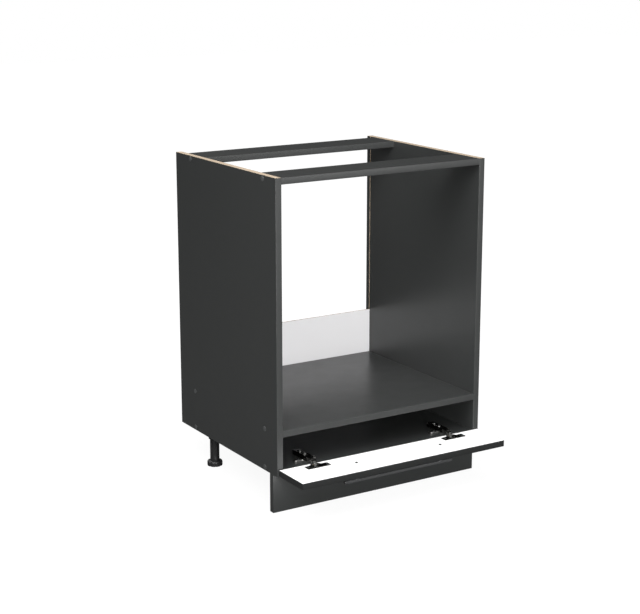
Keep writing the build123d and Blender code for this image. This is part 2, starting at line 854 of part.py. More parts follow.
def plinth_bracket(leg_x):
    """The plate on the back of the plinth, with two jaws that hold the clip's head."""
    face = plinth_setback + plinth_thickness
    low = clip_height - bracket_height / 2
    z = (low, low + bracket_height)
    base = slab((-bracket_width / 2, bracket_width / 2), (face, face + bracket_base), z)
    inner = clip_head_half + bracket_play
    jaw_y = (face + bracket_base, face + bracket_base + bracket_jaw)
    lip_y = (jaw_y[1] - 1.2, jaw_y[1])
    for jaw in both_sides(slab((inner, inner + 1.5), jaw_y, z)):
        base += jaw
    for lip in both_sides(slab((inner - bracket_lip, inner + 1.5), lip_y, z)):
        base += lip
    for side in (-1, 1):
        spot = (side * bracket_screw_pitch / 2, jaw_y[0] + 1, clip_height)
        base -= flat_rod(spot, (0, -1, 0), wood_screw_radius + fit_play, bracket_base + 2)
    return Pos(leg_x, 0, 0) * base


def plinth_clip(leg_x, leg_y):
    """The spring ring on a front leg, with the head that slides into the bracket."""
    bore = tube_radius + clip_play
    outer = bore + clip_ring_wall
    ring = Pos(0, leg_y) * (Circle(outer) - Circle(bore))
    ring -= Pos(0, leg_y + outer) * Rectangle(clip_mouth, outer)
    face = plinth_setback + plinth_thickness + bracket_base + bracket_play
    head_y = (face, face + clip_head_depth)
    low = clip_height - clip_width / 2
    z = (low, low + clip_width)
    clip = upright_prism(ring, z[0], z[1])
    clip += slab((-clip_head_half, clip_head_half), head_y, z)
    clip += slab((-clip_neck_half, clip_neck_half), (face, leg_y - bore - clip_ring_wall / 2), z)
    return Pos(leg_x, 0, 0) * clip


# Writing the pieces

def centred(shape):
    """A piece moved so that the footprint's middle is the origin."""
    return Pos(0, -footprint_middle, 0) * shape


def write(name, shapes):
    """Write one node; a list of shapes stays a group of separate solids."""
    if isinstance(shapes, list):
        shapes = Compound(children=[centred(shape) for shape in shapes])
    else:
        shapes = centred(shapes)
    shapes.label = name
    export_step(shapes, f"parts/{name}.step")


def write_carcass():
    """Write the boards, their strips and what joins them."""
    right = side_panel()
    write("right_side_panel", right)
    write("left_side_panel", mirror(right, about=Plane.YZ))
    write("bottom_panel", bottom_panel())
    write("oven_shelf", oven_shelf())
    top = (top_z - board, top_z)
    write("front_top_rail", bored_board((band, rail_width), top))
    write("rear_top_rail", bored_board((rear_rail_y + band, rear_rail_y + rail_width), top))
    write("back_panel", back_panel())
    for name, strip in edge_bands().items():
        write(name, strip)
    write("assembly_screws", joint_screws())
    write("screw_caps", screw_caps())
    write("wooden_dowels", dowels())
    rear_y = back_face_y + back_thickness
    rows = (leg_height + board / 2, shelf_top_z - board / 2)
    places = [(x, rear_y, z) for z in rows for x in back_screw_xs()]
    write("back_panel_screws", wood_screws(places, (0, -1, 0), back_screw_length, wood_screw_head_height))


def write_flap():
    """Write the flap and its handle."""
    write("flap_panel", flap_panel())
    write("flap_edge_bands", flap_edge_bands())
    write("bar_handle", bar_handle())
    write("handle_screws", handle_screws())


def write_hinges():
    """Write both concealed hinges."""
    single = {
        "hinge_cup": hinge_cup(),
        "hinge_arm": hinge_arm(),
        "mounting_plate": mounting_plate(),
        "outer_link": outer_link(),
        "inner_link": inner_link(),
    }
    groups = {"cup_pins": cup_pins(), "arm_pins": arm_pins(), "arm_screws": arm_screws()}
    for side, hand in (("left", -1), ("right", 1)):
        for name, shape in single.items():
            write(f"{side}_{name}", at_hinge(shape, hand))
        for name, shapes in groups.items():
            write(f"{side}_{name}", [at_hinge(shape, hand) for shape in shapes])
    down = (0, 0, -1)
    cup_places = [(x, flange_row_y, flange_top_z) for x in cup_screw_xs()]
    write("cup_screws", wood_screws(cup_places, down, cup_screw_length, cup_screw_head_height))
    plate_places = [(x, plate_row, plate_top_z) for x in plate_screw_xs()]
    write("plate_screws", wood_screws(plate_places, down, plate_screw_length, wood_screw_head_height))


def write_base():
    """Write the legs, the plinth and its clips."""
    for name, (x, y) in LEG_PLACES.items():
        write(f"{name}_leg_socket", leg_socket(x, y))
        write(f"{name}_leg_tube", leg_tube(x, y))
        write(f"{name}_screw_foot", screw_foot(x, y))
    write("socket_screws", socket_screws())
    write("plinth_panel", plinth_panel())
    for side in ("left", "right"):
        x, y = LEG_PLACES[f"front_{side}"]
        write(f"{side}_plinth_bracket", plinth_bracket(x))
        write(f"{side}_plinth_clip", plinth_clip(x, y))
    places = bracket_screw_places()
    write("bracket_screws", wood_screws(places, (0, -1, 0), bracket_screw_length, wood_screw_head_height))


os.makedirs("parts", exist_ok=True)
write_carcass()
write_flap()
write_hinges()
write_base()
print("footprint middle", footprint_middle)
print("outer arm pin", outer_arm_pin, "turn", outer_turn)
print("inner arm pin", inner_arm_pin, "turn", inner_turn)
print("outer cup pin", outer_cup_pin, "flap turn", flap_turn)
print("inner cup pin", inner_cup_pin, "slot", slot_shift())
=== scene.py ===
import logging
import math
from collections.abc import Sequence
from dataclasses import dataclass
from enum import Enum
from typing import Any, NamedTuple

import bmesh
import bpy
from mathutils import Matrix, Vector


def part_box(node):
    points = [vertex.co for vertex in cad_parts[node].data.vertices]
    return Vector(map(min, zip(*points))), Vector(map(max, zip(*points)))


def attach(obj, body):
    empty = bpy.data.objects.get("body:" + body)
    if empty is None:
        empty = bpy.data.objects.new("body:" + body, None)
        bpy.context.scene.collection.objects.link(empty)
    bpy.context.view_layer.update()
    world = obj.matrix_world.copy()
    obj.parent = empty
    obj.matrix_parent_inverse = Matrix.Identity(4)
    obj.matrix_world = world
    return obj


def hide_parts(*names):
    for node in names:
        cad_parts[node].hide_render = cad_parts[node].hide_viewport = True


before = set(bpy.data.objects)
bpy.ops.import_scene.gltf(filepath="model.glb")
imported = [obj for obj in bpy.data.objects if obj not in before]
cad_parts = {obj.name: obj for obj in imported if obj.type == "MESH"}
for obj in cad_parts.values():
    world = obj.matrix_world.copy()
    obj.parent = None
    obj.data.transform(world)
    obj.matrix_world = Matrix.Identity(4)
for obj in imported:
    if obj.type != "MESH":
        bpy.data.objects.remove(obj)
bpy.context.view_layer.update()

# Dresses the oven housing unit: a finish for every board and fitting, rounded edge strips, turned
# legs, pressed hinge parts with softened edges, and screws with their drive recesses.

MM = 0.001
SAME_SPOT = 1e-6
NO_RADIUS = 1e-7
FLAT_DEGREES = 0.5
CORNER_DEGREES = 40.0
STRIP_STEPS = 5
CROSS_WIDTH = 0.28
CROSS_TAPER = 0.6
CROSS_DEPTH = 0.8
LOG = logging.getLogger("oven_housing")
SIDES = ("left", "right")
LEGS = ("front_left", "front_right", "rear_left", "rear_right")
Colour = tuple[float, float, float]
Place = tuple[float, float, float]
Mark = tuple[Vector, Vector]
Socket = bpy.types.NodeSocket


class Axis(Enum):
    """The direction in which a board is thin."""

    X = 0
    Y = 1
    Z = 2


class Out(Enum):
    """The way a strip or a screw head faces."""

    FRONT = (0.0, -1.0, 0.0)
    REAR = (0.0, 1.0, 0.0)
    LEFT = (-1.0, 0.0, 0.0)
    RIGHT = (1.0, 0.0, 0.0)
    UP = (0.0, 0.0, 1.0)
    DOWN = (0.0, 0.0, -1.0)
    SIDEWAYS = (0.0, 0.0, 0.0)

    def towards(self, spot: Vector) -> Vector:
        """The direction itself, or away from mid-width where it is sideways."""
        away = (math.copysign(1.0, spot.x), 0.0, 0.0)
        return Vector(away if self is Out.SIDEWAYS else self.value)


class NodeSheet:
    """Adds nodes to one tree and wires them together."""

    def __init__(self, tree: bpy.types.NodeTree) -> None:
        """Start on an emptied tree."""
        self.tree = tree
        tree.nodes.clear()

    def add(self, kind: str, inputs: dict[Any, Any] | None = None, **settings: Any) -> bpy.types.Node:
        """Add a node.

        Args:
            kind: The node's type name.
            inputs: Values or sockets for its inputs, by name or number.
            settings: The node's own properties.

        Returns:
            The new node.
        """
        node = self.tree.nodes.new(kind)
        for key, value in settings.items():
            setattr(node, key, value)
        for key, value in (inputs or {}).items():
            if isinstance(value, Socket):
                self.tree.links.new(value, node.inputs[key])
            else:
                node.inputs[key].default_value = value
        return node

    def math(self, operation: str, *values: Any) -> Socket:
        """Add a Math node and return its result."""
        return self.add("ShaderNodeMath", dict(enumerate(values)), operation=operation).outputs[0]

    def spread(self, value: Socket, low: float, high: float, to_low: float, to_high: float) -> Socket:
        """Map a value from one range to another, held inside the second."""
        limits = {"Value": value, "From Min": low, "From Max": high, "To Min": to_low, "To Max": to_high}
        return self.add("ShaderNodeMapRange", limits).outputs[0]

    def mix(self, share: Any, first: Any, second: Any) -> Socket:
        """Mix two colours by a share."""
        return self.add("ShaderNodeMix", {0: share, 6: first, 7: second}, data_type="RGBA").outputs[2]

    def blend(self, share: Any, first: Any, second: Any) -> Socket:
        """Mix two numbers by a share."""
        return self.add("ShaderNodeMix", {0: share, 2: first, 3: second}, data_type="FLOAT").outputs[0]

    def noise(self, place: Socket, grain: float, detail: float) -> Socket:
        """Noise from 0 to 1, its spots a grain wide in metres, with finer layers for detail."""
        inputs = {"Vector": place, "Scale": 1.0 / grain, "Detail": detail}
        return self.add("ShaderNodeTexNoise", inputs).outputs[0]

    def place(self) -> Socket:
        """Object coordinates."""
        return self.add("ShaderNodeTexCoord").outputs["Object"]


class Face(NamedTuple):
    """What one surface brings to a shader."""

    colour: Socket
    roughness: Socket
    height: Socket


def rgba(colour: Colour) -> tuple[float, float, float, float]:
    """A colour with full opacity."""
    return (*colour, 1.0)


def shade(colour: Colour, factor: float) -> tuple[float, float, float, float]:
    """A colour made lighter or darker by a factor."""
    return (*(min(1.0, part * factor) for part in colour), 1.0)


def new_material(name: str) -> tuple[bpy.types.Material, NodeSheet]:
    """Start a node material.

    Args:
        name: The finish's name.

    Returns:
        The material and the sheet for its nodes.
    """
    material = bpy.data.materials.new(name)
    material.use_nodes = True
    return material, NodeSheet(material.node_tree)


def close_shader(sheet: NodeSheet, face: Face, metallic: float = 0.0) -> None:
    """End a material's tree.

    Args:
        sheet: The tree.
        face: The surface to shade.
        metallic: 1 for bare metal, 0 for anything else.
    """
    bump = sheet.add("ShaderNodeBump", {"Height": face.height, "Strength": 1.0, "Distance": 1.0})
    inputs = {"Base Color": face.colour, "Roughness": face.roughness, "Metallic": metallic}
    shader = sheet.add("ShaderNodeBsdfPrincipled", {**inputs, "Normal": bump.outputs[0]})
    sheet.add("ShaderNodeOutputMaterial", {"Surface": shader.outputs[0]})


@dataclass(frozen=True)
class Coat:
    """A printed, moulded or sprayed surface with a fine pebbled texture.

    Its tone varies in wide clouds and in the pebbles, its gloss in patches of a size between them.
    """

    colour: Colour
    tint: float
    roughness: float
    rough_spread: float
    pebble: float
    depth: float
    cloud: float = 0.16
    cloud_share: float = 0.6
    gloss_patch: float = 0.045
    gloss_range: tuple[float, float] = (0.3, 0.7)

    def face(self, sheet: NodeSheet) -> Face:
        """Build the surface.

        Args:
            sheet: The tree that gets the nodes.

        Returns:
            The colour, roughness and height.
        """
        place = sheet.place()
        fine = sheet.noise(place, self.pebble, detail=3.0)
        clouds = sheet.math("MULTIPLY", sheet.noise(place, self.cloud, detail=3.0), self.cloud_share)
        share = sheet.math("ADD", clouds, sheet.math("MULTIPLY", fine, 1 - self.cloud_share))
        colour = sheet.mix(share, shade(self.colour, 1 - self.tint), shade(self.colour, 1 + self.tint))
        low, high = self.roughness - self.rough_spread, self.roughness + self.rough_spread
        patches = sheet.noise(place, self.gloss_patch, detail=4.0)
        rough = sheet.spread(patches, *self.gloss_range, low, high)
        return Face(colour, rough, sheet.math("MULTIPLY", fine, self.depth))


@dataclass(frozen=True)
class FlakeCore:
    """Raw chipboard or hardboard, as it shows where a board is cut."""

    light: Colour
    dark: Colour
    flake: float
    depth: float
    flake_share: float = 0.6
    grit_size: float = 0.4
    roughness: tuple[float, float] = (0.8, 0.95)

    def face(self, sheet: NodeSheet) -> Face:
        """Build the cut surface.

        Args:
            sheet: The tree that gets the nodes.

        Returns:
            The colour, roughness and height.
        """
        place = sheet.place()
        grit = sheet.noise(place, self.flake * self.grit_size, detail=5.0)
        cells = sheet.add("ShaderNodeTexVoronoi", {"Vector": place, "Scale": 1.0 / self.flake})
        value = sheet.add("ShaderNodeSeparateColor", {0: cells.outputs["Color"]}).outputs[0]
        flakes = sheet.math("MULTIPLY", value, self.flake_share)
        share = sheet.math("ADD", flakes, sheet.math("MULTIPLY", grit, 1 - self.flake_share))
        colour = sheet.mix(share, rgba(self.dark), rgba(self.light))
        rough = sheet.spread(grit, 0.0, 1.0, *self.roughness)
        return Face(colour, rough, sheet.math("MULTIPLY", grit, self.depth))


@dataclass(frozen=True)
class BoardFinish:
    """A board with a printed face on each side and a raw core between them."""

    name: str
    axis: Axis
    low_face: Coat
    high_face: Coat
    core: FlakeCore
    paper: float = 0.25 * MM
    mirrored: bool = False

    def make(self, low: float, high: float) -> bpy.types.Material:
        """Build the material.

        Args:
            low: Where the lower face lies along the thin axis.
            high: Where the upper face lies.

        Returns:
            The material.
        """
        material, sheet = new_material(self.name)
        depth = sheet.add("ShaderNodeSeparateXYZ", {0: sheet.place()}).outputs[self.axis.value]
        if self.mirrored:
            depth = sheet.math("ABSOLUTE", depth)
        above = sheet.math("GREATER_THAN", depth, low + self.paper)
        below = sheet.math("LESS_THAN", depth, high - self.paper)
        raw = sheet.math("MULTIPLY", above, below)
        outside = self.low_face.face(sheet)
        if self.high_face != self.low_face:
            upper = sheet.math("GREATER_THAN", depth, (low + high) / 2)
            outside = self.join(sheet, upper, outside, self.high_face.face(sheet))
        close_shader(sheet, self.join(sheet, raw, outside, self.core.face(sheet)))
        return material

    @staticmethod
    def join(sheet: NodeSheet, share: Socket, first: Face, second: Face) -> Face:
        """Mix two surfaces.

        Args:
            sheet: The tree that gets the nodes.
            share: 0 for the first surface, 1 for the second.
            first: One surface.
            second: The other surface.

        Returns:
            The mixed surface.
        """
        colour = sheet.mix(share, first.colour, second.colour)
        rough = sheet.blend(share, first.roughness, second.roughness)
        return Face(colour, rough, sheet.blend(share, first.height, second.height))


@dataclass(frozen=True)
class CoatFinish:
    """One coat all over, on plastic, wood, lacquered metal or bare metal."""

    name: str
    coat: Coat
    metallic: float = 0.0

    def make(self) -> bpy.types.Material:
        """Build the material.

        Returns:
            The material.
        """
        material, sheet = new_material(self.name)
        close_shader(sheet, self.coat.face(sheet), self.metallic)
        return material


# A coat is a colour, how far its tone varies, its roughness and how far that varies, then the size
# and the depth of its pebbles. A core is its light and dark flakes, their size and their depth.
ANTHRACITE = Coat((0.0245, 0.0258, 0.0254), 0.04, 0.33, 0.02, 0.55 * MM, 0.008 * MM)
STRIP_COAT = Coat((0.0258, 0.027, 0.0266), 0.03, 0.36, 0.02, 0.4 * MM, 0.006 * MM)
FLAP_STRIP_COAT = Coat((0.0105, 0.0112, 0.011), 0.03, 0.34, 0.02, 0.4 * MM, 0.006 * MM)
WHITE_COAT = Coat((0.88, 0.88, 0.875), 0.01, 0.36, 0.02, 0.6 * MM, 0.006 * MM)
BACK_WHITE = Coat((0.565, 0.56, 0.567), 0.01, 0.34, 0.02, 0.8 * MM, 0.006 * MM)
CHIPBOARD = FlakeCore((0.43, 0.35, 0.268), (0.255, 0.19, 0.12), 1.6 * MM, 0.12 * MM)
HARDBOARD = FlakeCore((0.36, 0.23, 0.13), (0.24, 0.15, 0.08), 0.7 * MM, 0.03 * MM)
HANDLE_COAT = Coat((0.05, 0.051, 0.052), 0.06, 0.24, 0.02, 0.3 * MM, 0.006 * MM)
BLACK_NICKEL = Coat((0.06, 0.06, 0.057), 0.08, 0.26, 0.04, 1.2 * MM, 0.003 * MM)
LINK_NICKEL = Coat((0.13, 0.129, 0.124), 0.08, 0.36, 0.04, 1.2 * MM, 0.003 * MM)
PLATE_NICKEL = Coat((0.3, 0.297, 0.285), 0.06, 0.3, 0.03, 1.2 * MM, 0.003 * MM)
PIN_STEEL = Coat((0.3, 0.3, 0.29), 0.08, 0.3, 0.04, 0.8 * MM, 0.003 * MM)
ZINC = Coat((0.66, 0.66, 0.65), 0.08, 0.27, 0.04, 0.5 * MM, 0.003 * MM)
BLACK_SCREW = Coat((0.06, 0.06, 0.06), 0.08, 0.34, 0.04, 0.5 * MM, 0.003 * MM)
CAP_COAT = Coat((0.05, 0.052, 0.052), 0.05, 0.36, 0.03, 0.4 * MM, 0.005 * MM)
LEG_COAT = Coat((0.012, 0.012, 0.0125), 0.08, 0.36, 0.04, 0.5 * MM, 0.01 * MM)
CLIP_COAT = Coat((0.016, 0.016, 0.016), 0.08, 0.42, 0.04, 0.5 * MM, 0.01 * MM)
BEECH = Coat((0.5, 0.36, 0.22), 0.15, 0.6, 0.05, 0.9 * MM, 0.03 * MM)


class Palette:
    """The finishes of the strips and fittings."""

    def __init__(self) -> None:
        """Make each material once."""
        self.strip = CoatFinish("edge_strip", STRIP_COAT).make()
        self.flap_strip = CoatFinish("flap_edge_strip", FLAP_STRIP_COAT).make()
        self.handle = CoatFinish("handle_powder", HANDLE_COAT).make()
        self.hinge = CoatFinish("black_nickel", BLACK_NICKEL, metallic=1.0).make()
        self.link = CoatFinish("link_nickel", LINK_NICKEL, metallic=1.0).make()
        self.plate = CoatFinish("plate_nickel", PLATE_NICKEL, metallic=1.0).make()
        self.pin = CoatFinish("pin_steel", PIN_STEEL, metallic=1.0).make()
        self.zinc = CoatFinish("zinc_steel", ZINC, metallic=1.0).make()
        self.black_screw = CoatFinish("blackened_screw", BLACK_SCREW, metallic=1.0).make()
        self.cap = CoatFinish("cap_plastic", CAP_COAT).make()
        self.leg = CoatFinish("leg_plastic", LEG_COAT).make()
        self.clip = CoatFinish("clip_plastic", CLIP_COAT).make()
        self.beech = CoatFinish("beech", BEECH).make()


def clean_copy(node: str) -> bmesh.types.BMesh:
    """A CAD node's mesh with its doubled corners merged, ready to edit.

    Args:
        node: The CAD node's name.

    Returns:
        The editable mesh.
    """
    shape = bmesh.new()
    shape.from_mesh(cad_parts[node].data)
    bmesh.ops.remove_doubles(shape, verts=shape.verts, dist=SAME_SPOT)
    return shape


def solids_of(node: str) -> list[tuple[Vector, Vector]]:
    """The box of each separate solid in a CAD node.

    Args:
        node: The CAD node's name.

    Returns:
        Lowest and highest corner of each solid.
    """
    shape = clean_copy(node)
    left = set(shape.verts)
    boxes = []
    while left:
        queue = [left.pop()]
        low, high = queue[0].co.copy(), queue[0].co.copy()
        while queue:
            corner = queue.pop()
            low = Vector(map(min, low, corner.co))
            high = Vector(map(max, high, corner.co))
            for edge in corner.link_edges:
                other = edge.other_vert(corner)
                if other in left:
                    left.remove(other)
                    queue.append(other)
        boxes.append((low, high))
    shape.free()
    return sorted(boxes, key=lambda pair: tuple(pair[0]))


def mesh_from(shape: bmesh.types.BMesh, name: str) -> bpy.types.Mesh:
    """Turn an editable mesh into a plain one.

    Args:
        shape: The editable mesh, which is freed.
        name: The new mesh's name.

    Returns:
        The plain mesh.
    """
    mesh = bpy.data.meshes.new(name)
    shape.to_mesh(mesh)
    shape.free()
    return mesh


def smooth(mesh: bpy.types.Mesh, sharp_degrees: float = 32.0) -> None:
    """Shade a mesh smooth but for its sharp edges."""
    mesh.shade_smooth()
    mesh.set_sharp_from_angle(angle=math.radians(sharp_degrees))


def applied(piece: bpy.types.Object) -> bpy.types.Mesh:
    """Work out an object's modifiers.

    Args:
        piece: The object, which is removed.

    Returns:
        The mesh that its modifiers make.
    """
    graph = bpy.context.evaluated_depsgraph_get()
    mesh = bpy.data.meshes.new_from_object(piece.evaluated_get(graph), depsgraph=graph)
    bpy.data.objects.remove(piece)
    return mesh


def loose_object(name: str, data: bpy.types.ID) -> bpy.types.Object:
    """Put a mesh, a light or a camera into the scene, riding on nothing yet.

    Args:
        name: The object's name.
        data: What it shows.

    Returns:
        The object.
    """
    piece = bpy.data.objects.new(name, data)
    bpy.context.scene.collection.objects.link(piece)
    return piece


def seat(
    name: str, mesh: bpy.types.Mesh, material: bpy.types.Material, body: str, node: str
) -> None:
    """Add a finished piece to the part.

    Args:
        name: The piece's name.
        mesh: Its mesh, in place.
        material: Its finish.
        body: The body that it moves with.
        node: The CAD node that it stands for.
    """
    mesh.materials.clear()
    mesh.materials.append(material)
    piece = loose_object(name, mesh)
    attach(piece, body)
    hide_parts(node)
    LOG.info("%s: %d faces on %s", name, len(mesh.polygons), body)


def paint(node: str, material: bpy.types.Material) -> None:
    """Give a CAD node its finish.

    Args:
        node: The CAD node's name.
        material: The finish.
    """
    node_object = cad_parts[node]
    node_object.data.materials.clear()
    node_object.data.materials.append(material)
    LOG.info("%s: finish %s", node, material.name)


def softened(node: str, width: float, segments: int = 2) -> bpy.types.Mesh:
    """A CAD node's shape with its sharp edges rounded.

    Args:
        node: The CAD node's name.
        width: Width of the rounding, in metres.
        segments: Steps across the rounding.

    Returns:
        The rounded mesh.
    """
    shape = clean_copy(node)
    flat = math.radians(FLAT_DEGREES)
    bmesh.ops.dissolve_limit(shape, angle_limit=flat, verts=shape.verts, edges=shape.edges)
    piece = loose_object(node + "_soft", mesh_from(shape, node + "_soft"))
    bevel = piece.modifiers.new("rounding", "BEVEL")
    bevel.width = width
    bevel.segments = segments
    bevel.limit_method = "ANGLE"
    bevel.angle_limit = math.radians(CORNER_DEGREES)
    result = applied(piece)
    smooth(result)
    return result


def seat_softened(node: str, width: float, material: bpy.types.Material, body: str) -> None:
    """Replace a CAD node with its own shape, edges rounded."""
    seat(node + "_soft", softened(node, width), material, body, node)


def rounded_strip(shape: bmesh.types.BMesh, low: Vector, high: Vector, out: Out, radius: float) -> None:
    """Add a strip whose two long outer edges are rounded.

    Args:
        shape: The mesh that gets the strip.
        low: Lowest corner.
        high: Highest corner.
        out: The side that faces outwards.
        radius: Radius of the rounding.
    """
    made = bmesh.ops.create_cube(shape, size=1.0)["verts"]
    middle, extent = (low + high) / 2, high - low
    for corner in made:
        corner.co = middle + Vector(part * side for part, side in zip(corner.co, extent))
    facing = out.towards(middle)
    long_axis = max(range(3), key=lambda i: extent[i])
    reach = max(corner.co.dot(facing) for corner in made)
    edges = [
        edge
        for edge in {edge for corner in made for edge in corner.link_edges}
        if all(corner.co.dot(facing) > reach - SAME_SPOT for corner in edge.verts)
        and abs((edge.verts[0].co - edge.verts[1].co)[long_axis]) > SAME_SPOT
    ]
    bmesh.ops.bevel(shape, geom=edges, offset=radius, segments=STRIP_STEPS, profile=0.5, affect="EDGES")


def turned(profile: Sequence[tuple[float, float]], sides: int, cross: float = 0.0) -> bpy.types.Mesh:
    """Spin a profile round the Z axis.

    Args:
        profile: (radius, height) pairs from the bottom up. A ring that closes on itself repeats
            its first pair.
        sides: Steps round the axis.
        cross: Reach of a cross recess in the top ring's middle, or 0 for none.

    Returns:
        The mesh.
    """
    shape = bmesh.new()
    rings = []
    for radius, height in profile:
        count = sides if radius > NO_RADIUS else 1
        angles = [2 * math.pi * i / sides for i in range(count)]
        rings.append([shape.verts.new((radius * math.cos(a), radius * math.sin(a), height)) for a in angles])
    for lower, upper in zip(rings, rings[1:]):
        for i in range(sides if len(lower) + len(upper) > 2 else 0):
            j = (i + 1) % sides
            below = (lower[i % len(lower)], lower[j % len(lower)])
            above = (upper[j % len(upper)], upper[i % len(upper)])
            shape.faces.new(list(dict.fromkeys(below + above)))
    if cross:
        cut_cross(shape, rings[-1], cross)
    bmesh.ops.remove_doubles(shape, verts=shape.verts, dist=NO_RADIUS)
    bmesh.ops.recalc_face_normals(shape, faces=shape.faces)
    mesh = mesh_from(shape, "turned")
    smooth(mesh)
    return mesh


def cut_cross(shape: bmesh.types.BMesh, rim: Sequence[bmesh.types.BMVert], reach: float) -> None:
    """Close a screw head's top with a cross recess.

    Args:
        shape: The mesh.
        rim: The ring round the flat top.
        reach: Length of each arm of the cross, from the middle.
    """
    height = rim[0].co.z
    half = reach * CROSS_WIDTH
    outline = []
    for quarter in range(4):
        turn = math.pi / 2 * quarter
        for x, y in ((half, half), (half, reach), (-half, reach)):
            spot = (x * math.cos(turn) - y * math.sin(turn), x * math.sin(turn) + y * math.cos(turn), height)
            outline.append(shape.verts.new(spot))
    deep = height - reach * CROSS_DEPTH
    floor = [shape.verts.new((v.co.x * CROSS_TAPER, v.co.y * CROSS_TAPER, deep)) for v in outline]
    count = len(outline)
    loop = [shape.edges.new((outline[i], outline[(i + 1) % count])) for i in range(count)]
    around = [shape.edges.get((rim[i], rim[(i + 1) % len(rim)])) for i in range(len(rim))]
    bmesh.ops.triangle_fill(shape, edges=loop + around, use_beauty=True)
    for i in range(count):
        j = (i + 1) % count
        shape.faces.new((outline[j], outline[i], floor[i], floor[j]))
    shape.faces.new(floor)


class ShapeTree:
    """A geometry node tree with named inputs, which ends in real geometry with its finish set."""

    def __init__(self, name: str, inputs: dict[str, str]) -> None:
        """Start the tree.

        Args:
            name: The tree's name.
            inputs: The kind of each input but the finish, by name.
        """
        self.tree = bpy.data.node_groups.new(name, "GeometryNodeTree")
        self.sheet = NodeSheet(self.tree)
        self.inputs: dict[str, str] = {}
        for label, kind in (*inputs.items(), ("Finish", "NodeSocketMaterial")):
            socket = self.tree.interface.new_socket(label, in_out="INPUT", socket_type=kind)
            self.inputs[label] = socket.identifier
        self.tree.interface.new_socket("Geometry", in_out="OUTPUT", socket_type="NodeSocketGeometry")
        self.given = self.sheet.add("NodeGroupInput").outputs

    def close(self, geometry: Socket) -> None:
        """End the tree.

        Args:
            geometry: What it puts out, before it is made real and gets its finish.
        """
        real = self.sheet.add("GeometryNodeRealizeInstances", {"Geometry": geometry})
        finish = {"Geometry": real.outputs[0], "Material": self.given["Finish"]}
        dressed = self.sheet.add("GeometryNodeSetMaterial", finish)
        self.sheet.add("NodeGroupOutput", {"Geometry": dressed.outputs[0]})

    def run(self, holder: bpy.types.Object, values: dict[str, Any], sharp_degrees: float) -> bpy.types.Mesh:
        """Run the tree on an object.

        Args:
            holder: The object, which is removed.
            values: The tree's inputs by name.
            sharp_degrees: From what angle on an edge stays sharp.

        Returns:
            The mesh that comes out.
        """
        modifier = holder.modifiers.new("shaping", "NODES")
        modifier.node_group = self.tree
        for label, value in values.items():
            modifier[self.inputs[label]] = value
        mesh = applied(holder)
        smooth(mesh, sharp_degrees)
        return mesh


class Marks(ShapeTree):
    """Sets one made part at many marks, each turned a little, with geometry nodes."""

    TURN_SEED = 11
    SHARP_DEGREES = 32.0

    def __init__(self) -> None:
        """Build the node tree."""
        inputs = {
            "Marks": "NodeSocketGeometry",
            "Part": "NodeSocketObject",
            "Size": "NodeSocketFloat",
            "Largest turn": "NodeSocketFloat",
        }
        super().__init__("parts_on_marks", inputs)
        sheet, given = self.sheet, self.given
        out = sheet.add("GeometryNodeInputNamedAttribute", {"Name": "out"}, data_type="FLOAT_VECTOR")
        aligned = sheet.add("FunctionNodeAlignRotationToVector", {"Vector": out.outputs[0]}, axis="Z")
        limits = {2: 0.0, 3: given["Largest turn"], "Seed": self.TURN_SEED}
        turn = sheet.add("FunctionNodeRandomValue", limits, data_type="FLOAT")
        around = {"Axis": (0.0, 0.0, 1.0), "Angle": turn.outputs[1]}
        spin = sheet.add("FunctionNodeAxisAngleToRotation", around)
        both = {"Rotation": aligned.outputs[0], "Rotate By": spin.outputs[0]}
        rotation = sheet.add("FunctionNodeRotateRotation", both, rotation_space="LOCAL")
        part = sheet.add("GeometryNodeObjectInfo", {"Object": given["Part"]}, transform_space="ORIGINAL")
        placed = sheet.add(
            "GeometryNodeInstanceOnPoints",
            {
                "Points": given["Marks"],
                "Instance": part.outputs["Geometry"],
                "Rotation": rotation.outputs[0],
                "Scale": given["Size"],
            },
        )
        self.close(placed.outputs[0])

    def spread(
        self, part: bpy.types.Mesh, marks: Sequence[Mark], material: bpy.types.Material, turn: float
    ) -> bpy.types.Mesh:
        """Set a part at each mark.

        Args:
            part: The part's mesh, with its head along Z.
            marks: A place and an outward direction for each copy.
            material: The finish.
            turn: The largest turn about the outward direction, in radians.

        Returns:
            All the copies as one mesh.
        """
        points = bpy.data.meshes.new("marks")
        points.from_pydata([spot for spot, _ in marks], [], [])
        directions = points.attributes.new("out", "FLOAT_VECTOR", "POINT")
        directions.data.foreach_set("vector", [value for _, out in marks for value in out])
        template = loose_object("template", part)
        values = {"Part": template, "Size": 1.0, "Largest turn": turn, "Finish": material}
        mesh = self.run(loose_object("holder", points), values, self.SHARP_DEGREES)
        bpy.data.objects.remove(template)
        return mesh


@dataclass(frozen=True)
class FluteStyle:
    """One kind of upright flute; the margins are kept free at the body's two ends."""

    count: int
    depth: float
    sharpness: float
    inner_share: float
    low_margin: float
    high_margin: float
    run_out: float


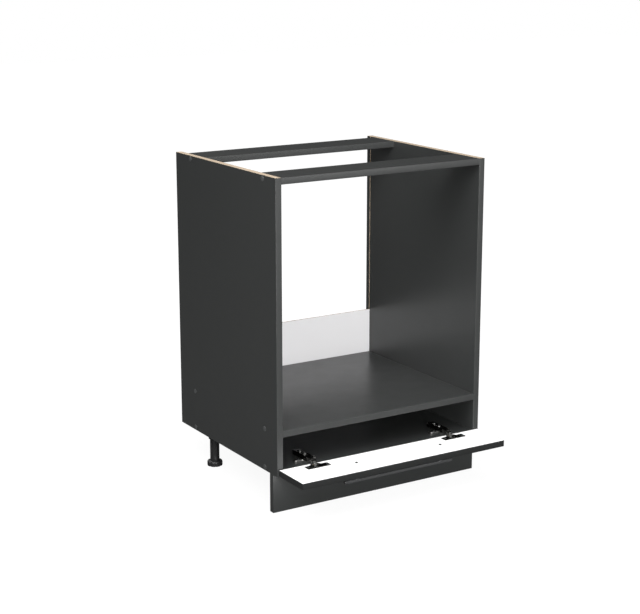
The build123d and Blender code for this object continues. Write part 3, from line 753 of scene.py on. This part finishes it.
class Flutes(ShapeTree):
    """Presses upright flutes into a turned body, with geometry nodes."""

    SHARP_DEGREES = 50.0

    def __init__(self) -> None:
        """Build the node tree."""
        sizes = ("Count", "Depth", "Sharpness", "Inner radius", "Low", "High", "Run out")
        inputs = {"Body": "NodeSocketGeometry", **dict.fromkeys(sizes, "NodeSocketFloat")}
        super().__init__("upright_flutes", inputs)
        sheet, given = self.sheet, self.given
        place = sheet.add("GeometryNodeInputPosition").outputs[0]
        spot = sheet.add("ShaderNodeSeparateXYZ", {0: place}).outputs
        angle = sheet.math("ARCTAN2", spot[1], spot[0])
        wave = sheet.math("COSINE", sheet.math("MULTIPLY_ADD", angle, given["Count"], math.pi))
        press = sheet.math("POWER", sheet.math("MAXIMUM", wave, 0.0), given["Sharpness"])
        above = self.ramp(spot[2], given["Low"], given["Run out"])
        below = self.ramp(sheet.math("SUBTRACT", given["High"], spot[2]), 0.0, given["Run out"])
        flat = sheet.add("ShaderNodeCombineXYZ", {0: spot[0], 1: spot[1], 2: 0.0}).outputs[0]
        radius = sheet.add("ShaderNodeVectorMath", {0: flat}, operation="LENGTH").outputs["Value"]
        outer = sheet.math("GREATER_THAN", radius, given["Inner radius"])
        window = sheet.math("MULTIPLY", sheet.math("MULTIPLY", above, below), outer)
        amount = sheet.math("MULTIPLY", sheet.math("MULTIPLY", press, given["Depth"]), window)
        outward = sheet.add("ShaderNodeVectorMath", {0: flat}, operation="NORMALIZE").outputs[0]
        inward = {0: outward, "Scale": sheet.math("MULTIPLY", amount, -1.0)}
        move = sheet.add("ShaderNodeVectorMath", inward, operation="SCALE").outputs[0]
        moved = sheet.add("GeometryNodeSetPosition", {"Geometry": given["Body"], "Offset": move})
        self.close(moved.outputs[0])

    def ramp(self, value: Socket, start: Socket | float, length: Socket) -> Socket:
        """Rise smoothly from 0 at start to 1 a length further on."""
        inputs = {"Value": value, "From Min": start, "From Max": self.sheet.math("ADD", start, length)}
        return self.sheet.add("ShaderNodeMapRange", inputs, interpolation_type="SMOOTHSTEP").outputs[0]

    def press(
        self,
        body: bpy.types.Mesh,
        material: bpy.types.Material,
        style: FluteStyle,
        radius: float,
        low: float,
        high: float,
    ) -> bpy.types.Mesh:
        """Press the flutes.

        Args:
            body: The turned body, standing on the Z axis.
            material: The finish.
            style: The flutes' form.
            radius: The body's outer radius.
            low: Where the body starts.
            high: Where it ends.

        Returns:
            The fluted mesh.
        """
        values = {
            "Count": style.count,
            "Depth": style.depth,
            "Sharpness": style.sharpness,
            "Inner radius": radius * style.inner_share,
            "Low": low + style.low_margin,
            "High": high - style.high_margin,
            "Run out": style.run_out,
            "Finish": material,
        }
        return self.run(loose_object("fluted", body), values, self.SHARP_DEGREES)


@dataclass
class Fasteners:
    """Screws and cover caps, set where the CAD solids are."""

    palette: Palette
    marks: Marks
    head_sides: int = 40
    rim_share: float = 0.98
    long_from: float = 2.5
    dome_edge: float = 0.7 * MM
    dome_share: float = 0.6
    dome_degrees: tuple[int, ...] = (90, 68, 46, 24, 0)
    tip_share: float = 0.5
    cross_share: float = 0.5
    cross_margin: float = 1.3
    handle_shaft: float = 2.0 * MM
    wood_shaft: float = 1.75 * MM
    cap_sides: int = 48
    cap_edge: float = 0.15 * MM
    cap_crown: float = 0.45 * MM
    crown_shares: tuple[float, ...] = (0.93, 0.8, 0.6, 0.3)
    crown_power: int = 4

    def build(self) -> None:
        """Make the cover caps and every screw with a cross recess."""
        self.cover("screw_caps", "cabinet")
        for node, body, out, shaft in (
            ("handle_screws", "flap", Out.UP, self.handle_shaft),
            ("cup_screws", "flap", Out.UP, self.wood_shaft),
            ("plate_screws", "cabinet", Out.UP, self.wood_shaft),
            ("socket_screws", "cabinet", Out.DOWN, self.wood_shaft),
            ("bracket_screws", "cabinet", Out.REAR, self.wood_shaft),
            ("back_panel_screws", "cabinet", Out.REAR, self.wood_shaft),
        ):
            self.drive(node, body, out, shaft)

    def screw(self, head: float, height: float, shaft: float, length: float) -> bpy.types.Mesh:
        """Model one screw with its head's underside at the origin.

        Args:
            head: Head radius.
            height: Head height.
            shaft: Shaft radius.
            length: Shaft length under the head.

        Returns:
            The mesh.
        """
        edge = min(self.dome_edge, height * self.dome_share)
        dome = [
            (head - edge * (1 - math.sin(a)), height - edge * (1 - math.cos(a)))
            for a in map(math.radians, self.dome_degrees)
        ]
        tip = [(0.0, -length), (shaft * self.tip_share, -length), (shaft, -length + shaft)]
        cross = min(head * self.cross_share, head - edge * self.cross_margin)
        return turned([*tip, (shaft, 0.0), (head, 0.0), *dome], self.head_sides, cross)

    def drive(self, node: str, body: str, out: Out, shaft: float) -> None:
        """Replace one node's screws.

        Args:
            node: The CAD node.
            body: The body that it moves with.
            out: The way the heads face.
            shaft: Shaft radius.
        """
        marks = []
        for low, high in solids_of(node):
            middle, facing = (low + high) / 2, out.towards((low + high) / 2)
            along = max(range(3), key=lambda i: abs(facing[i]))
            reach = (high - low)[along]
            head = max((high - low)[i] for i in range(3) if i != along) / 2
            marks.append((middle, facing, reach, head))
        _, _, reach, head = marks[0]
        height = self.head_height(node, head)
        part = self.screw(head, height, shaft, reach - height)
        seats = [(spot + way * (size / 2 - height), way) for spot, way, size, _ in marks]
        mesh = self.marks.spread(part, seats, self.palette.black_screw, math.pi)
        seat(node + "_dressed", mesh, self.palette.black_screw, body, node)

    def head_height(self, node: str, head: float) -> float:
        """Height of a node's screw heads, read from the corners on the head's rim.

        Args:
            node: The CAD node.
            head: Head radius.

        Returns:
            The height in metres.
        """
        low, high = solids_of(node)[0]
        shape = clean_copy(node)
        extent = high - low
        along = max(range(3), key=lambda i: extent[i]) if max(extent) > self.long_from * head else 2
        middle = (low + high) / 2
        wide = []
        for corner in shape.verts:
            if all(low[i] - SAME_SPOT <= corner.co[i] <= high[i] + SAME_SPOT for i in range(3)):
                across = corner.co - middle
                across[along] = 0.0
                if across.length > head * self.rim_share:
                    wide.append(corner.co[along])
        shape.free()
        return max(wide) - min(wide)

    def cover(self, node: str, body: str) -> None:
        """Replace the cover caps with crowned ones.

        Args:
            node: The CAD node.
            body: The body that it moves with.
        """
        marks = []
        for low, high in solids_of(node):
            facing = Out.SIDEWAYS.towards((low + high) / 2)
            marks.append(((low + high) / 2 - facing * (high - low).x / 2, facing))
        low, high = solids_of(node)[0]
        radius, thick = (high - low).y / 2, (high - low).x
        rim, edge = thick - self.cap_crown, self.cap_edge
        crown = thick - rim - edge
        profile = [(0.0, 0.0), (radius, 0.0), (radius, rim), (radius - edge, rim + edge)]
        profile += [(radius * s, thick - crown * s ** self.crown_power) for s in self.crown_shares]
        part = turned([*profile, (0.0, thick)], self.cap_sides)
        mesh = self.marks.spread(part, marks, self.palette.cap, 0.0)
        seat(node + "_dressed", mesh, self.palette.cap, body, node)


@dataclass
class Carcass:
    """The boards, their edge strips and the low back, whose rear print is thinner than its front."""

    palette: Palette
    strip_round: float = 0.65 * MM
    back_print: float = 0.15 * MM
    rear_print_less: float = 0.1 * MM
    flat_boards: tuple[str, ...] = ("bottom_panel", "oven_shelf", "front_top_rail", "rear_top_rail")
    strips: tuple[str, ...] = ("left", "right", "bottom", "shelf", "front_rail", "rear_rail")

    def build(self) -> None:
        """Finish every board and lay every strip."""
        low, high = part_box("right_side_panel")
        sides = BoardFinish("side_melamine", Axis.X, ANTHRACITE, ANTHRACITE, CHIPBOARD, mirrored=True)
        side_material = sides.make(low.x, high.x)
        for side in SIDES:
            paint(f"{side}_side_panel", side_material)
        for board in self.flat_boards:
            low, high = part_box(board)
            finish = BoardFinish(board + "_melamine", Axis.Z, ANTHRACITE, ANTHRACITE, CHIPBOARD)
            paint(board, finish.make(low.z, high.z))
        low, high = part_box("back_panel")
        back = BoardFinish("back_board", Axis.Y, BACK_WHITE, BACK_WHITE, HARDBOARD, paper=self.back_print)
        paint("back_panel", back.make(low.y, high.y + self.rear_print_less))
        for strip in self.strips:
            self.lay_strip(strip + "_edge_band")
        paint("wooden_dowels", self.palette.beech)
        paint("assembly_screws", self.palette.zinc)

    def lay_strip(self, node: str) -> None:
        """Replace one front edge strip with a rounded one.

        Args:
            node: The CAD node.
        """
        shape = bmesh.new()
        rounded_strip(shape, *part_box(node), Out.FRONT, self.strip_round)
        mesh = mesh_from(shape, node)
        smooth(mesh)
        seat(node + "_rounded", mesh, self.palette.strip, "cabinet", node)


@dataclass
class Flap:
    """The fold-down flap, its strips and its bar handle."""

    palette: Palette
    strip_round: float = 0.6 * MM
    handle_round: float = 0.5 * MM
    handle_steps: int = 3

    def build(self) -> None:
        """Finish the board, lay the strips and round the handle."""
        low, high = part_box("flap_panel")
        finish = BoardFinish("flap_board", Axis.Z, ANTHRACITE, WHITE_COAT, CHIPBOARD)
        paint("flap_panel", finish.make(low.z, high.z))
        shape = bmesh.new()
        for strip_low, strip_high, out in self.strips():
            rounded_strip(shape, strip_low, strip_high, out, self.strip_round)
        mesh = mesh_from(shape, "flap_strips")
        smooth(mesh)
        seat("flap_strips_rounded", mesh, self.palette.flap_strip, "flap", "flap_edge_bands")
        handle = softened("bar_handle", self.handle_round, self.handle_steps)
        seat("bar_handle_rounded", handle, self.palette.handle, "flap", "bar_handle")

    @staticmethod
    def strips() -> list[tuple[Vector, Vector, Out]]:
        """Measure the four strips round the board.

        Returns:
            Lowest corner, highest corner and outward side of each.
        """
        low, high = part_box("flap_edge_bands")
        board_low, board_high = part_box("flap_panel")
        return [
            (low, Vector((high.x, board_low.y, high.z)), Out.FRONT),
            (Vector((low.x, board_high.y, low.z)), high, Out.REAR),
            (Vector((low.x, board_low.y, low.z)), Vector((board_low.x, board_high.y, high.z)), Out.LEFT),
            (Vector((board_high.x, board_low.y, low.z)), Vector((high.x, board_high.y, high.z)), Out.RIGHT),
        ]


@dataclass
class Hinges:
    """The pressed, cast and turned parts of both concealed hinges."""

    palette: Palette
    soft: float = 0.22 * MM
    screw_soft: float = 0.25 * MM

    def build(self) -> None:
        """Round every part of both hinges but the screws."""
        parts = (
            ("hinge_cup", "flap", self.palette.hinge, "hinge_steel"),
            ("hinge_arm", "cabinet", self.palette.hinge, "hinge_steel"),
            ("mounting_plate", "cabinet", self.palette.plate, "hinge_steel"),
            ("outer_link", "outer_links", self.palette.link, "hinge_steel"),
            ("inner_link", "inner_links", self.palette.link, "hinge_steel"),
            ("cup_pins", "flap", self.palette.pin, "pin_steel"),
            ("arm_pins", "cabinet", self.palette.pin, "pin_steel"),
        )
        for side in SIDES:
            for part, body, finish, slot in parts:
                seat_softened(f"{side}_{part}", self.soft, finish, body)

    def fit_screws(self) -> None:
        """Round the fixing and adjusting screws of both arms."""
        for side in SIDES:
            seat_softened(f"{side}_arm_screws", self.screw_soft, self.palette.pin, "cabinet")


@dataclass
class Legs:
    """The four adjustable legs."""

    palette: Palette
    flutes: Flutes
    sides: int = 144
    soft: float = 0.5 * MM
    chamfer_share: float = 0.3
    bore: float = 6.1 * MM
    bore_share: float = 0.6
    tube_bands: int = 24
    tube_flutes: FluteStyle = FluteStyle(
        count=8, depth=0.9 * MM, sharpness=6.0, inner_share=0.8,
        low_margin=8 * MM, high_margin=26 * MM, run_out=5 * MM,
    )
    foot_notches: FluteStyle = FluteStyle(
        count=8, depth=1.5 * MM, sharpness=3.0, inner_share=0.7,
        low_margin=-1.0 * MM, high_margin=-1.0 * MM, run_out=0.5 * MM,
    )
    foot_gap: float = 0.3 * MM
    foot_round: float = 1.6 * MM
    foot_round_middle: float = 0.5 * MM
    foot_rings: tuple[float, ...] = (3.5 * MM, 6.0 * MM, 8.5 * MM, 10.0 * MM)
    shoulder: float = 4 * MM
    shoulder_degrees: tuple[int, ...] = (22, 45, 68, 90)
    stem_play: float = 0.1 * MM
    thread_pitch: float = 2.5 * MM
    thread_depth: float = 0.5 * MM
    thread_root_share: float = 0.1
    thread_crest_share: float = 0.5

    def build(self) -> None:
        """Make each leg's tube and foot, and round its socket."""
        for leg in LEGS:
            node = f"{leg}_leg_socket"
            socket = softened(node, self.soft)
            seat(f"{leg}_socket_soft", socket, self.palette.leg, "cabinet", node)
            self.tube(leg)
            self.foot(leg)

    def tube(self, leg: str) -> None:
        """Turn one tube and press its flutes.

        Args:
            leg: The leg's name.
        """
        node = f"{leg}_leg_tube"
        low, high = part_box(node)
        radius, height = (high.x - low.x) / 2, high.z - low.z
        soft, chamfer = self.soft, self.soft * self.chamfer_share
        wall = [
            (radius, low.z + soft + (height - 2 * soft) * step / self.tube_bands)
            for step in range(self.tube_bands + 1)
        ]
        bore_end = low.z + height * self.bore_share
        profile = [
            (self.bore, low.z),
            (radius - soft, low.z),
            (radius - chamfer, low.z + chamfer),
            *wall,
            (radius - soft, high.z),
            (0.0, high.z),
            (0.0, bore_end),
            (self.bore, bore_end),
            (self.bore, low.z),
        ]
        body = turned(profile, self.sides)
        mesh = self.flutes.press(body, self.palette.leg, self.tube_flutes, radius, low.z, high.z)
        mesh.transform(self.shift(low, high))
        seat(f"{leg}_tube_fluted", mesh, self.palette.leg, "cabinet", node)

    def foot(self, leg: str) -> None:
        """Turn one foot with its threaded stem and press its grip notches.

        Args:
            leg: The leg's name.
        """
        node = f"{leg}_screw_foot"
        low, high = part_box(node)
        tube_low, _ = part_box(f"{leg}_leg_tube")
        radius = max(high.x - low.x, high.y - low.y) / 2
        top = tube_low.z - self.foot_gap
        stem, pitch = self.bore - self.stem_play, self.thread_pitch
        root = stem - self.thread_depth
        thread = []
        for turn in range(int((high.z - top) / pitch)):
            start = top + turn * pitch
            thread.append((root, start + pitch * self.thread_root_share))
            thread.append((stem, start + pitch * self.thread_crest_share))
        outer, middle, ring_top = self.foot_round, self.foot_round_middle, self.foot_rings[-1]
        base = [(0.0, 0.0), (radius - outer, 0.0), (radius - middle, middle), (radius, outer)]
        base += [(radius, ring) for ring in self.foot_rings]
        shoulder = [
            (radius - self.shoulder * (1 - math.cos(a)), ring_top + (top - ring_top) * math.sin(a))
            for a in map(math.radians, self.shoulder_degrees)
        ]
        profile = [*base, *shoulder, (stem, top), *thread, (root, high.z), (0.0, high.z)]
        body = turned(profile, self.sides)
        mesh = self.flutes.press(body, self.palette.leg, self.foot_notches, radius, low.z, top)
        mesh.transform(self.shift(low, high))
        seat(f"{leg}_foot_turned", mesh, self.palette.leg, f"{leg}_foot", node)

    @staticmethod
    def shift(low: Vector, high: Vector) -> Matrix:
        """The move from the Z axis to a leg's own axis."""
        return Matrix.Translation(((low.x + high.x) / 2, (low.y + high.y) / 2, 0.0))


@dataclass
class Plinth:
    """The plinth panel with its clips and brackets."""

    palette: Palette
    soft: float = 0.4 * MM

    def build(self) -> None:
        """Finish the panel and round the fittings."""
        face = CoatFinish("plinth_melamine", ANTHRACITE).make()
        seat_softened("plinth_panel", self.soft, face, "cabinet")
        for side in SIDES:
            for part in ("plinth_clip", "plinth_bracket"):
                seat_softened(f"{side}_{part}", self.soft, self.palette.clip, "cabinet")


class Softbox(NamedTuple):
    """A square soft light: its place and width in metres, its power in watts."""

    name: str
    spot: Place
    width: float
    watts: float


@dataclass
class Studio:
    """The pale floor, the soft lights and the camera."""

    azimuth: float = 31.943
    elevation: float = 13.922
    focal_pixels: float = 1532.41
    picture_width: float = 640.0
    distance: float = 3.960683
    target: Place = (-0.00581, 0.08595, 0.419428)
    sensor: float = 36.0
    far_limit: float = 50.0
    front_glow: float = 0.85
    back_glow: float = 0.06
    glow_range: tuple[float, float] = (-0.9, 0.3)
    floor_size: float = 12.0
    floor_drop: float = 0.2 * MM
    floor_tones: tuple[float, float] = (0.07, 0.08)
    floor_cloud: float = 0.4
    floor_roughness: float = 0.9
    floor_glow: float = 0.02
    # The floor's glow close to the part, lower than far off: a painted shade round the part.
    floor_near_painted_shade: float = 0.93
    floor_reach: float = 1.4
    floor_fade_from: float = 0.5
    softboxes: tuple[Softbox, ...] = (
        Softbox("front_softbox", (-1.6, -3.0, 2.1), 2.0, 55.0),
        Softbox("low_softbox", (-0.9, -3.4, 0.65), 1.3, 110.0),
        Softbox("top_softbox", (-0.2, -0.9, 3.6), 2.6, 80.0),
        Softbox("left_softbox", (-1.8, -1.0, 2.0), 1.2, 55.0),
        Softbox("right_softbox", (1.65, -3.0, 0.7), 0.5, 6.0),
        Softbox("rear_softbox", (-0.5, 3.2, 2.3), 1.6, 48.0),
        Softbox("side_softbox", (3.2, -0.4, 1.3), 1.4, 40.0),
    )

    def build(self) -> None:
        """Set up everything round the part."""
        self.floor()
        self.sky()
        for box in self.softboxes:
            self.hang(box)
        self.camera()

    def floor(self) -> None:
        """Lay the pale floor: white to the camera, with a painted shade close to the part, where its glow is
        turned down.
        """
        size, level = self.floor_size, -self.floor_drop
        mesh = bpy.data.meshes.new("floor")
        corners = [(-size, -size, level), (size, -size, level), (size, size, level), (-size, size, level)]
        mesh.from_pydata(corners, [], [(0, 1, 2, 3)])
        material, sheet = new_material("pale_floor")
        place = sheet.place()
        dark, light = (rgba((tone, tone, tone)) for tone in self.floor_tones)
        away = sheet.add("ShaderNodeVectorMath", {0: place}, operation="LENGTH").outputs["Value"]
        fade_from = self.floor_fade_from * self.floor_reach
        # The camera-seen glow falls towards the part, which paints a faint shade round it on the floor.
        white = sheet.spread(away, fade_from, self.floor_reach, self.floor_near_painted_shade, 1.0)
        seen = sheet.add("ShaderNodeLightPath").outputs["Is Camera Ray"]
        shader = sheet.add(
            "ShaderNodeBsdfPrincipled",
            {
                "Base Color": sheet.mix(sheet.noise(place, self.floor_cloud, detail=2.0), dark, light),
                "Roughness": self.floor_roughness,
                "Specular IOR Level": 0.0,
                "Emission Color": rgba((1.0, 1.0, 1.0)),
                "Emission Strength": sheet.blend(seen, self.floor_glow, white),
            },
        )
        sheet.add("ShaderNodeOutputMaterial", {"Surface": shader.outputs[0]})
        mesh.materials.append(material)
        loose_object("floor", mesh)

    def sky(self) -> None:
        """White to the camera; to the part bright in front and dim behind."""
        world = bpy.data.worlds.new("studio")
        world.use_nodes = True
        bpy.context.scene.world = world
        sheet = NodeSheet(world.node_tree)
        seen = sheet.add("ShaderNodeLightPath").outputs["Is Camera Ray"]
        way = sheet.add("ShaderNodeTexCoord").outputs["Generated"]
        rearwards = sheet.add("ShaderNodeSeparateXYZ", {0: way}).outputs[1]
        strength = sheet.spread(rearwards, *self.glow_range, self.front_glow, self.back_glow)
        glow = sheet.add("ShaderNodeBackground", {"Color": rgba((1.0, 1.0, 1.0)), "Strength": strength})
        white = sheet.add("ShaderNodeBackground", {"Color": rgba((1.0, 1.0, 1.0)), "Strength": 1.0})
        both = sheet.add("ShaderNodeMixShader", {0: seen, 1: glow.outputs[0], 2: white.outputs[0]})
        sheet.add("ShaderNodeOutputWorld", {"Surface": both.outputs[0]})

    def hang(self, box: Softbox) -> None:
        """Hang a soft light that points at the part.

        Args:
            box: The light.
        """
        light = bpy.data.lights.new(box.name, "AREA")
        light.size = box.width
        light.energy = box.watts
        lamp = loose_object(box.name, light)
        lamp.location = box.spot
        lamp.rotation_mode = "QUATERNION"
        lamp.rotation_quaternion = (Vector(self.target) - Vector(box.spot)).to_track_quat("-Z", "Y")

    def camera(self) -> None:
        """Place the camera at the photograph's angle."""
        azimuth, elevation = math.radians(self.azimuth), math.radians(self.elevation)
        level = math.cos(elevation)
        back = Vector((-math.sin(azimuth) * level, -math.cos(azimuth) * level, math.sin(elevation)))
        data = bpy.data.cameras.new("camera")
        data.sensor_width = self.sensor
        data.lens = self.focal_pixels * self.sensor / self.picture_width
        data.clip_end = self.far_limit
        camera = loose_object("camera", data)
        camera.location = Vector(self.target) + back * self.distance
        camera.rotation_mode = "QUATERNION"
        camera.rotation_quaternion = (-back).to_track_quat("-Z", "Y")
        bpy.context.scene.camera = camera


def main() -> None:
    """Dress the part and set up the studio."""
    logging.basicConfig(level=logging.INFO, format="%(name)s: %(message)s")
    bpy.context.scene.view_settings.view_transform = "Standard"
    palette = Palette()
    hinges = Hinges(palette)
    Carcass(palette).build()
    Flap(palette).build()
    hinges.build()
    Legs(palette, Flutes()).build()
    Plinth(palette).build()
    Fasteners(palette, Marks()).build()
    hinges.fit_screws()
    Studio().build()


if __name__ == "__main__":
    main()
